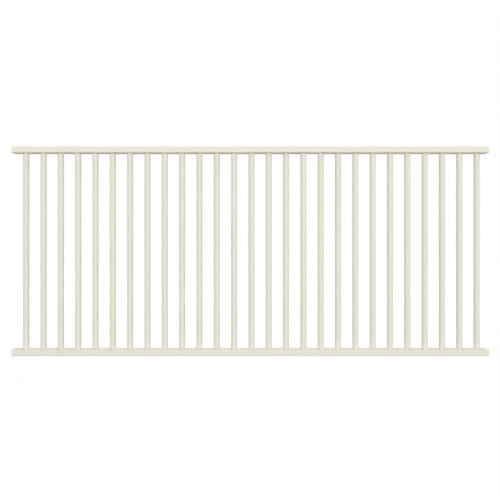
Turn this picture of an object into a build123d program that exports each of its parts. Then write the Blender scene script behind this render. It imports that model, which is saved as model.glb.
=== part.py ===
import os

from build123d import *

os.makedirs("parts", exist_ok=True)

# Overall size of the panel, over the ends and the outer faces of the two rails
panel_length = 2050.0
panel_height = 900.0

# Rails: rectangular hollow extrusions laid flat, sawn square and open at both ends
rail_height = 26.2
rail_depth = 59.0
rail_wall = 1.8
rail_corner_radius = 3.0
rail_inner_radius = 1.2

# Pickets: round bars let into the facing walls of both rails
picket_count = 27
picket_diameter = 25.5
first_picket_inset = 53.4
last_picket_inset = 43.9

# Fits: all round a picket in its punched hole, and over its top end inside the top rail
hole_clearance = 0.15
head_clearance = 0.25

# The origin is the centre of the bottom rail's left end, with the panel along +X
top_rail_level = panel_height - rail_height
picket_row_length = panel_length - first_picket_inset - last_picket_inset
picket_pitch = picket_row_length / (picket_count - 1)
picket_foot_level = rail_wall - rail_height / 2
picket_head_level = top_rail_level + rail_height / 2 - rail_wall - head_clearance
picket_positions = [first_picket_inset + place * picket_pitch for place in range(picket_count)]


def rail_end_plane(level):
    """Plane of a rail's left end: across the panel and up, facing along the rail."""
    return Plane(origin=(0, 0, level), x_dir=(0, 1, 0), z_dir=(1, 0, 0))


def draw_rail_section():
    """Rounded box section with an even wall."""
    RectangleRounded(rail_depth, rail_height, rail_corner_radius)
    RectangleRounded(
        rail_depth - 2 * rail_wall,
        rail_height - 2 * rail_wall,
        rail_inner_radius,
        mode=Mode.SUBTRACT,
    )


def draw_hole_row():
    """Round holes on the centre line of a rail, one for each picket."""
    with Locations([(position, 0) for position in picket_positions]):
        Circle(picket_diameter / 2 + hole_clearance)


# Bottom rail, punched through its upper wall
with BuildPart() as bottom_rail:
    with BuildSketch(rail_end_plane(0)):
        draw_rail_section()
    extrude(amount=panel_length)
    with BuildSketch(Plane.XY):
        draw_hole_row()
    extrude(amount=rail_height, mode=Mode.SUBTRACT)

bottom_rail.part.label = "bottom_rail"
export_step(bottom_rail.part, "parts/bottom_rail.step")

# Top rail, punched through its lower wall so that the top stays plain
with BuildPart() as top_rail:
    with BuildSketch(rail_end_plane(top_rail_level)):
        draw_rail_section()
    extrude(amount=panel_length)
    with BuildSketch(Plane.XY.offset(top_rail_level)):
        draw_hole_row()
    extrude(amount=-rail_height, mode=Mode.SUBTRACT)

top_rail.part.label = "top_rail"
export_step(top_rail.part, "parts/top_rail.step")

# Pickets, standing on the floor of the bottom rail and reaching up inside the top rail
for number, position in enumerate(picket_positions, start=1):
    with BuildPart() as picket:
        with BuildSketch(Plane(origin=(position, 0, picket_foot_level))):
            Circle(picket_diameter / 2)
        extrude(amount=picket_head_level - picket_foot_level)
    picket.part.label = f"picket_{number:02d}"
    export_step(picket.part, f"parts/picket_{number:02d}.step")
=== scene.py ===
import math

import bpy
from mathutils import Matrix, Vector


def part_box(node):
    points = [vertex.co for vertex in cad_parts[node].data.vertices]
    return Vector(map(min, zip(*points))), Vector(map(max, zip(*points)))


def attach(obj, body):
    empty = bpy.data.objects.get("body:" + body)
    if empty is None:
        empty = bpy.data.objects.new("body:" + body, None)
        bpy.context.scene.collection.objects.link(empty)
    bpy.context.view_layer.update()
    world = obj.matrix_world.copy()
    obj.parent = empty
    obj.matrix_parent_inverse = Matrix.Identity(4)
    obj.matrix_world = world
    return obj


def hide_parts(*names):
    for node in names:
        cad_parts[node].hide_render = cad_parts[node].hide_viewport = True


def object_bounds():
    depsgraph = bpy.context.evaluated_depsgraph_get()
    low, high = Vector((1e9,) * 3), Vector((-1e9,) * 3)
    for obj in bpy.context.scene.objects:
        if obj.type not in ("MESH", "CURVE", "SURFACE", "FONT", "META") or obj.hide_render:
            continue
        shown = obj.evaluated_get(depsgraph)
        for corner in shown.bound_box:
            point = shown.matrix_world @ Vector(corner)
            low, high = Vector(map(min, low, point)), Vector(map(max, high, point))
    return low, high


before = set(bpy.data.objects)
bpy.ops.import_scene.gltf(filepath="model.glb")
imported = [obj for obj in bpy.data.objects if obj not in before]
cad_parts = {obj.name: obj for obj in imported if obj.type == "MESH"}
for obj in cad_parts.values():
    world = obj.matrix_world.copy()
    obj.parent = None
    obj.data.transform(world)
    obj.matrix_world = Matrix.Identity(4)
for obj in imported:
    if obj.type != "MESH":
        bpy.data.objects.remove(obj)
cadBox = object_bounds()
scene = bpy.context.scene
scene.view_settings.view_transform = "Standard"
picketNodes = sorted(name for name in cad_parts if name.startswith("picket_"))
panelLow, panelHigh = cadBox
panelMiddle = (panelLow + panelHigh) / 2
print("fence panel: loaded", len(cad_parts), "CAD nodes")


# helpers for shaping a piece

shaping = {
    "mergeWithin": 0.000001,  # metres
    "endFacing": 0.9,         # a face whose normal lies along the piece by this much is an end
    "cutAngle": 50,           # degrees, sharper edges than this are saw cuts
    "cutSteps": 2,
    "smoothAngle": 40,        # degrees, flatter edges than this shade as one curve
    "normalWeight": 60,
}


def pickOnly(piece):  # object mode, this piece alone selected and active
    if bpy.context.mode != "OBJECT":
        bpy.ops.object.mode_set(mode="OBJECT")
    bpy.ops.object.select_all(action="DESELECT")
    piece.select_set(True)
    bpy.context.view_layer.objects.active = piece


def startEdit(piece, kind):  # nothing selected inside the piece, back in object mode
    pickOnly(piece)
    bpy.ops.object.mode_set(mode="EDIT")
    bpy.ops.mesh.select_mode(type=kind)
    bpy.ops.mesh.select_all(action="DESELECT")
    bpy.ops.object.mode_set(mode="OBJECT")


def selectFaces(piece, wanted):
    startEdit(piece, "FACE")
    for face in piece.data.polygons:
        face.select = wanted(face)
    bpy.ops.object.mode_set(mode="EDIT")


def selectEdges(piece, wanted):
    startEdit(piece, "EDGE")
    points = piece.data.vertices
    for edge in piece.data.edges:
        edge.select = wanted(points[edge.vertices[0]].co, points[edge.vertices[1]].co)
    bpy.ops.object.mode_set(mode="EDIT")


def settleInPlace(name):  # names the active piece and puts its place into its mesh
    piece = bpy.context.active_object
    piece.name = name
    bpy.ops.object.transform_apply(location=True, rotation=True, scale=True)
    return piece


def turnOutwards(piece):  # normals out of the metal, also inside a tube
    pickOnly(piece)
    bpy.ops.object.mode_set(mode="EDIT")
    bpy.ops.mesh.select_all(action="SELECT")
    bpy.ops.mesh.remove_doubles(threshold=shaping["mergeWithin"])
    bpy.ops.mesh.normals_make_consistent(inside=False)
    bpy.ops.object.mode_set(mode="OBJECT")


def openEndToEnd(piece, axis, wall):  # makes a bar a tube along this axis
    selectFaces(piece, lambda face: abs(face.normal[axis]) > shaping["endFacing"])
    bpy.ops.mesh.inset(thickness=wall, depth=0, use_individual=True)
    bpy.ops.mesh.bridge_edge_loops()
    turnOutwards(piece)


def applyModifier(piece, kind, **values):
    pickOnly(piece)
    modifier = piece.modifiers.new(kind.lower(), kind)
    for name, value in values.items():
        setattr(modifier, name, value)
    bpy.ops.object.modifier_apply(modifier=modifier.name)


def breakCuts(piece, width, clamp):  # takes the burr off the sawn edges
    applyModifier(piece, "BEVEL", width=width, segments=shaping["cutSteps"], limit_method="ANGLE",
                  angle_limit=math.radians(shaping["cutAngle"]), use_clamp_overlap=clamp)


def smoothCurves(piece):  # round faces smooth, flats and cuts crisp
    pickOnly(piece)
    bpy.ops.object.shade_smooth_by_angle(angle=math.radians(shaping["smoothAngle"]), keep_sharp_edges=True)
    applyModifier(piece, "WEIGHTED_NORMAL", mode="FACE_AREA", weight=shaping["normalWeight"], keep_sharp=True)


def giveMaterials(piece, *materials):
    piece.data.materials.clear()
    for material in materials:
        piece.data.materials.append(material)


def standFor(piece, node):
    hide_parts(node)
    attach(piece, "root")


# helpers for nodes, each gives back the socket to link from unless it says so

def addNode(tree, kind, inputs=None, **settings):  # gives the node itself
    node = tree.nodes.new(kind)
    for name, value in settings.items():
        setattr(node, name, value)
    for name, value in (inputs or {}).items():
        if isinstance(value, bpy.types.NodeSocket):
            tree.links.new(value, node.inputs[name])
        else:
            node.inputs[name].default_value = value
    return node


def addNoise(tree, place, noise):  # noise: waves per metre, detail, roughness of the noise
    scale, detail, roughness = noise
    return addNode(tree, "ShaderNodeTexNoise", {"Vector": place, "Scale": scale, "Detail": detail,
                                                "Roughness": roughness}).outputs[0]


def compute(tree, operation, *values):
    return addNode(tree, "ShaderNodeMath", dict(enumerate(values)), operation=operation).outputs[0]


def mixValues(tree, factor, first, second):
    return addNode(tree, "ShaderNodeMix", {0: factor, 2: first, 3: second}).outputs[0]


def mixColours(tree, factor, first, second):
    return addNode(tree, "ShaderNodeMix", {0: factor, 6: first, 7: second}, data_type="RGBA").outputs[2]


def mapValue(tree, value, fromRange, toRange, **settings):
    return addNode(tree, "ShaderNodeMapRange", {"Value": value, "From Min": fromRange[0],
                                                "From Max": fromRange[1], "To Min": toRange[0],
                                                "To Max": toRange[1]}, **settings).outputs[0]


def newGroup(name, takes, gives):  # gives the group, its start and its end
    group = bpy.data.node_groups.new(name, "ShaderNodeTree")
    for label, kind in takes:
        group.interface.new_socket(label, in_out="INPUT", socket_type=kind)
    for label, kind in gives:
        group.interface.new_socket(label, in_out="OUTPUT", socket_type=kind)
    return group, group.nodes.new("NodeGroupInput"), group.nodes.new("NodeGroupOutput")


def fillGroup(tree, group, inputs):  # gives all that the group puts out
    return addNode(tree, "ShaderNodeGroup", inputs, node_tree=group).outputs


def newMaterial(name):
    material = bpy.data.materials.new(name)
    material.use_nodes = True
    material.node_tree.nodes.clear()
    return material, material.node_tree


# powder coat: satin cream, cured with a fine orange peel over the extrusion's draw lines

coat = {
    "cream": (0.779, 0.765, 0.700, 1),
    "creamDeep": (0.769, 0.754, 0.688, 1),  # where the film is a little thicker
    "creamThin": (0.735, 0.725, 0.655, 1),  # film pulled back from a cut edge
    "speck": (0.690, 0.670, 0.580, 1),      # dust nibs cured into the film
    "roughness": 0.62,
    "roughnessSpread": 0.07,
    "specular": 0.22,
    "cloud": (7.0, 2.0, 0.5),               # noise: slow drift of the film's thickness
    "mottle": (130.0, 3.0, 0.6),            # noise: fine changes of tone and sheen
    "mottleShare": 0.4,
    "mottleRange": (0.3, 0.7),              # of the noise, over which the sheen changes
    "filmRange": (0.36, 0.64),              # of both noises, from thin film to deep
    "speckCells": 95.0,                     # per metre, a nib in the middle of each
    "speckSize": (0.016, 0.034),            # share of a cell, from full tone to none
    "speckStrength": 0.55,
    "peel": (380.0, 1.5, 0.4),              # noise: orange peel
    "grain": (1520.0, 1.0, 0.5),            # noise: powder grain on the peel
    "grainShare": 0.18,
    "lines": (700.0, 2.0, 0.7),             # noise: draw lines
    "lineShare": 0.14,
    "lineStretch": 0.006,                   # squeezes the draw lines along the piece
    "reliefDepth": 0.00005,
    "reliefStrength": 0.55,
    "edgeReach": 0.0009,                    # how far the film is pulled back
    "edgeRag": (160.0, 3.0, 0.5),           # noise: uneven edge of a film
}


def makeCoatTone():
    group, start, end = newGroup("coatTone",
                                 [("Vector", "NodeSocketVector"), ("Thin", "NodeSocketFloat")],
                                 [("Color", "NodeSocketColor"), ("Roughness", "NodeSocketFloat")])
    place = start.outputs["Vector"]
    mottle = addNoise(group, place, coat["mottle"])
    both = mixValues(group, coat["mottleShare"], addNoise(group, place, coat["cloud"]), mottle)
    film = mapValue(group, both, coat["filmRange"], (0.0, 1.0))
    tone = mixColours(group, film, coat["cream"], coat["creamDeep"])
    cells = addNode(group, "ShaderNodeTexVoronoi", {"Vector": place, "Scale": coat["speckCells"],
                                                    "Randomness": 1.0})
    nib = mapValue(group, cells.outputs["Distance"], coat["speckSize"], (coat["speckStrength"], 0.0))
    specked = mixColours(group, nib, tone, coat["speck"])
    edged = mixColours(group, start.outputs["Thin"], specked, coat["creamThin"])
    smoothest = coat["roughness"] - coat["roughnessSpread"] / 2
    sheen = mapValue(group, mottle, coat["mottleRange"], (smoothest, smoothest + coat["roughnessSpread"]))
    group.links.new(edged, end.inputs["Color"])
    group.links.new(sheen, end.inputs["Roughness"])
    return group


def makeCoatRelief():
    group, start, end = newGroup("coatRelief",
                                 [("Vector", "NodeSocketVector"), ("Along", "NodeSocketVector")],
                                 [("Normal", "NodeSocketVector")])
    place = start.outputs["Vector"]
    fine = mixValues(group, coat["grainShare"], addNoise(group, place, coat["peel"]),
                     addNoise(group, place, coat["grain"]))
    relief = mixValues(group, coat["lineShare"], fine, addNoise(group, start.outputs["Along"], coat["lines"]))
    bump = addNode(group, "ShaderNodeBump", {"Strength": coat["reliefStrength"],
                                             "Distance": coat["reliefDepth"], "Height": relief})
    group.links.new(bump.outputs["Normal"], end.inputs["Normal"])
    return group


def makeEndReach():  # 1 at a rail's sawn end, 0 past Reach, a little ragged
    group, start, end = newGroup("endReach",
                                 [("Vector", "NodeSocketVector"), ("Reach", "NodeSocketFloat"),
                                  ("Ragged", "NodeSocketFloat")],
                                 [("Mask", "NodeSocketFloat")])
    place = start.outputs["Vector"]
    fromLeft = addNode(group, "ShaderNodeSeparateXYZ", {"Vector": place}).outputs["X"]
    fromRight = compute(group, "SUBTRACT", panelHigh.x, fromLeft)
    depth = compute(group, "MINIMUM", fromLeft, fromRight)
    swing = compute(group, "SUBTRACT", addNoise(group, place, coat["edgeRag"]), 0.5)  # noise lies about a half
    wander = compute(group, "MULTIPLY_ADD", swing, start.outputs["Ragged"], depth)
    mask = mapValue(group, wander, (0.0, start.outputs["Reach"]), (1.0, 0.0),
                    interpolation_type="SMOOTHSTEP")
    group.links.new(mask, end.inputs["Mask"])
    return group


coatTone = makeCoatTone()
coatRelief = makeCoatRelief()
endReach = makeEndReach()


def makeCoat(name, stretch, thinAtEnds):
    material, tree = newMaterial(name)
    place = addNode(tree, "ShaderNodeTexCoord").outputs["Object"]
    along = addNode(tree, "ShaderNodeMapping", {"Vector": place, "Scale": stretch}).outputs["Vector"]
    thin = 0.0
    if thinAtEnds:
        thin = fillGroup(tree, endReach, {"Vector": place, "Reach": coat["edgeReach"],
                                          "Ragged": coat["edgeReach"]})["Mask"]
    tone = fillGroup(tree, coatTone, {"Vector": place, "Thin": thin})
    relief = fillGroup(tree, coatRelief, {"Vector": place, "Along": along})
    paint = addNode(tree, "ShaderNodeBsdfPrincipled", {"Base Color": tone["Color"],
                                                       "Roughness": tone["Roughness"],
                                                       "Normal": relief["Normal"],
                                                       "Specular IOR Level": coat["specular"]})
    addNode(tree, "ShaderNodeOutputMaterial", {"Surface": paint.outputs["BSDF"]})
    return material


# inside of the rails: bare mill finish, with powder drifted in at the ends

railBore = {
    "alloy": (0.66, 0.665, 0.67, 1),
    "alloyDull": (0.52, 0.525, 0.535, 1),
    "overspray": (0.74, 0.725, 0.635, 1),
    "reach": 0.075,                        # how far the powder drifts in
    "ragged": 0.035,
    "roughness": (0.34, 0.52),
    "lines": (900.0, 3.0, 0.65),           # noise: draw lines
    "lineStretch": 0.01,
    "lineDepth": 0.00004,
    "lineStrength": 0.4,
}


def makeRailBore():
    material, tree = newMaterial("railBoreMillFinish")
    place = addNode(tree, "ShaderNodeTexCoord").outputs["Object"]
    along = addNode(tree, "ShaderNodeMapping", {"Vector": place, "Scale": (railBore["lineStretch"], 1.0, 1.0)})
    lines = addNoise(tree, along.outputs["Vector"], railBore["lines"])
    drift = fillGroup(tree, endReach, {"Vector": place, "Reach": railBore["reach"],
                                       "Ragged": railBore["ragged"]})["Mask"]
    metal = mixColours(tree, lines, railBore["alloy"], railBore["alloyDull"])
    dusted = mixColours(tree, drift, metal, railBore["overspray"])
    bare = compute(tree, "SUBTRACT", 1.0, drift)
    sheen = mapValue(tree, lines, (0.0, 1.0), railBore["roughness"])
    bump = addNode(tree, "ShaderNodeBump", {"Strength": railBore["lineStrength"],
                                            "Distance": railBore["lineDepth"], "Height": lines})
    paint = addNode(tree, "ShaderNodeBsdfPrincipled", {"Base Color": dusted, "Metallic": bare,
                                                       "Roughness": sheen, "Normal": bump.outputs[0]})
    addNode(tree, "ShaderNodeOutputMaterial", {"Surface": paint.outputs["BSDF"]})
    return material


railCoat = makeCoat("creamCoatRail", (coat["lineStretch"], 1.0, 1.0), True)
picketCoat = makeCoat("creamCoatPicket", (1.0, 1.0, coat["lineStretch"]), False)
railBoreMetal = makeRailBore()
print("fence panel: powder coat and mill finish made")


# rails: flat-laid hollow extrusion, sawn square, one wall punched for the pickets

rail = {
    "wall": 0.0018,
    "corner": 0.003,
    "cornerSteps": 9,
    "edgeBreak": 0.00028,   # saw cuts after the deburring wheel
    "holeGap": 0.00002,     # all round a picket, the powder film closes the rest
    "holeSides": 64,
    "punchReach": 3,        # length of the punch in walls
    "boreMargin": 0.00002,
    "boreFacing": 0.2,      # a bore face's normal lies along the rail by less than this
}


def makeRail(node, punchedSide):  # punchedSide is 1 for the upper wall, -1 for the lower one
    low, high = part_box(node)
    middle, span = (low + high) / 2, high - low
    bpy.ops.object.select_all(action="DESELECT")
    bpy.ops.mesh.primitive_cube_add(size=1, location=middle, scale=span)
    piece = settleInPlace(node + "_extrusion")
    selectEdges(piece, lambda a, b: abs(a.x - b.x) > span.x / 2)  # the four long corners
    bpy.ops.mesh.bevel(offset=rail["corner"], segments=rail["cornerSteps"], profile=0.5, affect="EDGES")
    openEndToEnd(piece, 0, rail["wall"])
    breakCuts(piece, rail["edgeBreak"], False)

    punch = addPunch(low, high, middle, punchedSide)
    applyModifier(piece, "BOOLEAN", operation="DIFFERENCE", solver="EXACT", object=punch)
    bpy.data.objects.remove(punch)
    smoothCurves(piece)

    giveMaterials(piece, railCoat, railBoreMetal)
    halfY = span.y / 2 - rail["wall"] + rail["boreMargin"]
    halfZ = span.z / 2 - rail["wall"] + rail["boreMargin"]
    for face in piece.data.polygons:  # the bore is what lies inside the walls
        inside = abs(face.center.y - middle.y) < halfY and abs(face.center.z - middle.z) < halfZ
        face.material_index = 1 if inside and abs(face.normal.x) < rail["boreFacing"] else 0
    standFor(piece, node)
    return piece


def addPunch(low, high, middle, punchedSide):  # one round punch, repeated along the rail
    firstLow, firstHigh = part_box(picketNodes[0])
    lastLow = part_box(picketNodes[-1])[0]
    radius = (firstHigh.x - firstLow.x) / 2 + rail["holeGap"]
    wallLevel = middle.z + punchedSide * ((high.z - low.z) / 2 - rail["wall"] / 2)
    bpy.ops.object.select_all(action="DESELECT")
    bpy.ops.mesh.primitive_cylinder_add(vertices=rail["holeSides"], radius=radius,
                                        depth=rail["wall"] * rail["punchReach"],
                                        location=((firstLow.x + firstHigh.x) / 2, middle.y, wallLevel))
    punch = settleInPlace("railPunch")
    pitch = (lastLow.x - firstLow.x) / (len(picketNodes) - 1)
    applyModifier(punch, "ARRAY", count=len(picketNodes), use_relative_offset=False,
                  use_constant_offset=True, constant_offset_displace=(pitch, 0, 0))
    return punch


bottomRail = makeRail("bottom_rail", 1)
topRail = makeRail("top_rail", -1)
print("fence panel: rails", len(bottomRail.data.polygons), "and", len(topRail.data.polygons), "faces")


# pickets: round tube, both ends inside the rails

picket = {
    "sides": 64,
    "wall": 0.0012,
    "edgeBreak": 0.00025,
}


def makePicket(node):
    low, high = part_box(node)
    middle, span = (low + high) / 2, high - low
    bpy.ops.object.select_all(action="DESELECT")
    bpy.ops.mesh.primitive_cylinder_add(vertices=picket["sides"], radius=span.x / 2, depth=span.z,
                                        location=middle)
    piece = settleInPlace(node + "_tube")
    openEndToEnd(piece, 2, picket["wall"])
    breakCuts(piece, picket["edgeBreak"], True)
    smoothCurves(piece)
    giveMaterials(piece, picketCoat)
    return piece


def copyPicket(first, fromNode, toNode):
    pickOnly(first)
    bpy.ops.object.duplicate(linked=False)
    bpy.context.active_object.location.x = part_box(toNode)[0].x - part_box(fromNode)[0].x
    return settleInPlace(toNode + "_tube")


firstPicket = makePicket(picketNodes[0])
row = [firstPicket] + [copyPicket(firstPicket, picketNodes[0], node) for node in picketNodes[1:]]
for piece, node in zip(row, picketNodes):
    standFor(piece, node)
print("fence panel:", len(row), "pickets of", len(firstPicket.data.polygons), "faces")


# studio: pale floor, white surround for the camera, broad soft lamps

studio = {
    "floorSize": 24,
    "floorGap": 0.0003,                    # under the panel
    "floorTone": (0.510, 0.490, 0.430, 1),
    "floorToneWorn": (0.530, 0.510, 0.450, 1),
    "floorWear": (1.3, 2.0, 0.5),          # noise
    "floorFade": (1.6, 4.5),               # metres out, from where the shadow lies to all white
    "floorGlow": (0.62, 1.0),              # share of plain white in what the camera sees, near and far
    "floorWhiteLevel": (1.393, 1.053),     # near, where the floor's own tone is mixed in, and far
    "floorWhite": (0.960, 0.972, 1.0, 1),  # evens out the floor's own warm tone
    "worldLight": 0.35,
    "worldTone": (1.0, 0.98, 0.92, 1),     # a little warm, as it comes off pale walls
    "worldWhite": (1, 1, 1, 1),            # what the camera sees
    # lamps: level on the object, width, distance, degrees right of the camera, degrees up
    "lamps": {
        "key": (0.720, 5.0, 9.0, 0, 4),
        "right": (0.135, 5.0, 9.0, 60, 12),
        "left": (0.05, 5.0, 9.0, -32, 12),
        "top": (0.20, 6.0, 9.0, 0, 86),
        "back": (0.29, 6.0, 9.0, 180, 50),
        "rear": (0.42, 5.0, 9.0, 180, 5),
    },
}


def cameraSees(tree):  # 1 for camera, mirror and glass rays
    path = addNode(tree, "ShaderNodeLightPath")
    direct = compute(tree, "MAXIMUM", path.outputs["Is Camera Ray"], path.outputs["Is Glossy Ray"])
    return compute(tree, "MAXIMUM", direct, path.outputs["Is Transmission Ray"])


def fadeOutwards(tree, place, nearAndFar):
    distance = addNode(tree, "ShaderNodeVectorMath", {0: place}, operation="LENGTH").outputs["Value"]
    return mapValue(tree, distance, studio["floorFade"], nearAndFar)


def makeFloor():
    bpy.ops.object.select_all(action="DESELECT")
    bpy.ops.mesh.primitive_plane_add(size=studio["floorSize"],
                                     location=(panelMiddle.x, panelMiddle.y, panelLow.z - studio["floorGap"]))
    floor = bpy.context.active_object
    floor.name = "studioFloor"
    material, tree = newMaterial("paleFloor")
    place = addNode(tree, "ShaderNodeTexCoord").outputs["Object"]
    wear = addNoise(tree, place, studio["floorWear"])
    tone = mixColours(tree, wear, studio["floorTone"], studio["floorToneWorn"])
    matt = addNode(tree, "ShaderNodeBsdfDiffuse", {"Color": tone})
    level = fadeOutwards(tree, place, studio["floorWhiteLevel"])
    white = addNode(tree, "ShaderNodeEmission", {"Color": studio["floorWhite"], "Strength": level})
    seen = compute(tree, "MULTIPLY", cameraSees(tree), fadeOutwards(tree, place, studio["floorGlow"]))
    both = addNode(tree, "ShaderNodeMixShader", {0: seen, 1: matt.outputs[0], 2: white.outputs[0]})
    addNode(tree, "ShaderNodeOutputMaterial", {"Surface": both.outputs[0]})
    floor.data.materials.append(material)


def makeSurround():
    world = bpy.data.worlds.new("whiteSurround")
    world.use_nodes = True
    tree = world.node_tree
    tree.nodes.clear()
    light = addNode(tree, "ShaderNodeBackground", {"Color": studio["worldTone"],
                                                   "Strength": studio["worldLight"]})
    white = addNode(tree, "ShaderNodeBackground", {"Color": studio["worldWhite"], "Strength": 1.0})
    both = addNode(tree, "ShaderNodeMixShader", {0: cameraSees(tree), 1: light.outputs[0],
                                                 2: white.outputs[0]})
    addNode(tree, "ShaderNodeOutputWorld", {"Surface": both.outputs[0]})
    scene.world = world


def addLamp(name):
    level, width, distance, turn, rise = studio["lamps"][name]
    lamp = bpy.data.lights.new(name + "Lamp", "AREA")
    lamp.shape = "DISK"
    lamp.size = width
    lamp.energy = level * (math.pi * distance) ** 2  # so that a level of 1 shows a colour as written
    holder = bpy.data.objects.new(name + "Lamp", lamp)
    scene.collection.objects.link(holder)
    turn, rise = math.radians(turn), math.radians(rise)
    towards = Vector((math.sin(turn) * math.cos(rise), -math.cos(turn) * math.cos(rise), math.sin(rise)))
    holder.location = panelMiddle + distance * towards
    holder.rotation_euler = (panelMiddle - holder.location).to_track_quat("-Z", "Y").to_euler()
    holder.visible_camera = False
    holder.visible_glossy = name != "rear"  # it only lifts the far side, with no glare on the rails


makeFloor()
makeSurround()
for name in studio["lamps"]:
    addLamp(name)
print("fence panel: studio set")


# camera: straight on, level, at about mid-height

view = {
    "pixels": 500,
    "panelPixels": 477.9,         # front of the rails, end to end, in the picture
    "focalPixels": 630,
    "centre": (250.33, 251.22),   # where the panel's middle falls
    "eyeLine": 241.0,             # level of the lens, a little above the middle
    "sensorWidth": 36,
}


def addCamera():
    metresPerPixel = (panelHigh.x - panelLow.x) / view["panelPixels"]
    half = view["pixels"] / 2
    lens = bpy.data.cameras.new("photoCamera")
    lens.sensor_width = view["sensorWidth"]
    lens.lens = view["focalPixels"] / view["pixels"] * view["sensorWidth"]
    camera = bpy.data.objects.new("photoCamera", lens)
    scene.collection.objects.link(camera)
    camera.location = (panelMiddle.x - (view["centre"][0] - half) * metresPerPixel,
                       panelLow.y - view["focalPixels"] * metresPerPixel,
                       panelMiddle.z + (view["centre"][1] - view["eyeLine"]) * metresPerPixel)
    camera.rotation_euler = (math.radians(90), 0, 0)
    lens.shift_y = (view["eyeLine"] - half) / view["pixels"]
    scene.camera = camera


addCamera()
